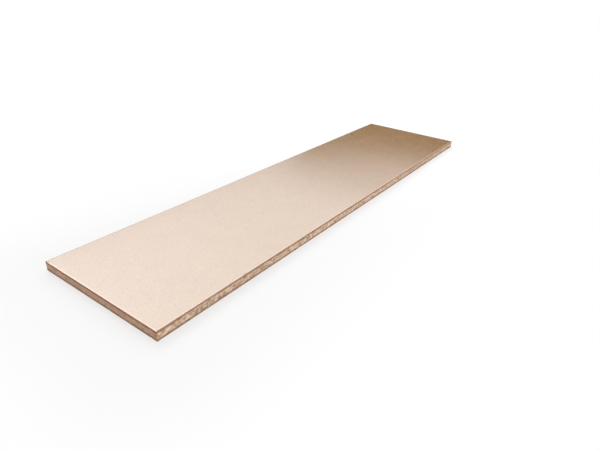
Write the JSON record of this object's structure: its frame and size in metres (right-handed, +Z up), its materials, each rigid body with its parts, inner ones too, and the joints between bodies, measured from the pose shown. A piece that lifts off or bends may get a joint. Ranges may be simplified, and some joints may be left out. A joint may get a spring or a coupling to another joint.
{
  "type": "mezzanine floor board",
  "caption": "Thick flat chipboard floor panel for a mezzanine deck, 2400 x 600 x 38 mm, sawn square on all four sides.",
  "frame": {"origin": "on the underside, below the middle of the board", "axes": "+X along the board, +Y across it, +Z up through the wear face"},
  "size_m": [2.4, 0.6, 0.038],
  "materials": {
    "chipboard": "sanded resin-bonded wood chipboard, fine pale faces and coarser sawn edges"
  },
  "bodies": {
    "root": {"board": "chipboard"}
  },
  "joints": []
}
